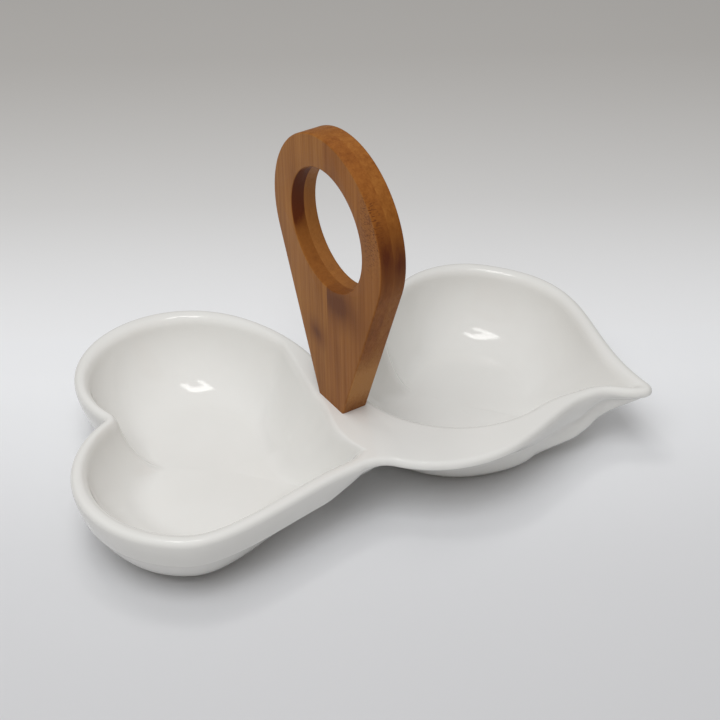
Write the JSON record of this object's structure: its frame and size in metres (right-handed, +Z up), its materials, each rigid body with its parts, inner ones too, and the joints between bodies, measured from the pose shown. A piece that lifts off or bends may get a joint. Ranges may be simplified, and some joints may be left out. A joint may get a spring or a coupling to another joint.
{
  "type": "divided serving dish",
  "caption": "Divided serving dish of joined heart-shaped glazed bowls with a flat deck between them and an upright laminated bamboo ring handle.",
  "frame": {"origin": "under the middle of the dish's box, on the table plane that the foot rings stand on", "axes": "+X along the dish from the left heart to the right heart, +Y away from the viewer, +Z up"},
  "size_m": [0.2602, 0.1782, 0.1637],
  "materials": {
    "glaze": "clear gloss glaze over white porcelain",
    "bamboo_light": "oiled carbonised bamboo",
    "bamboo_dark": "oiled carbonised bamboo",
    "screw_steel": "plain stainless",
    "washer_rubber": "matte soft washer"
  },
  "bodies": {
    "root": {"dish": "glaze", "front_left_strip": "bamboo_light", "front_right_strip": "bamboo_dark", "back_left_strip": "bamboo_dark", "back_right_strip": "bamboo_light", "fixing_screws": "screw_steel", "screw_washers": "washer_rubber"}
  },
  "joints": []
}
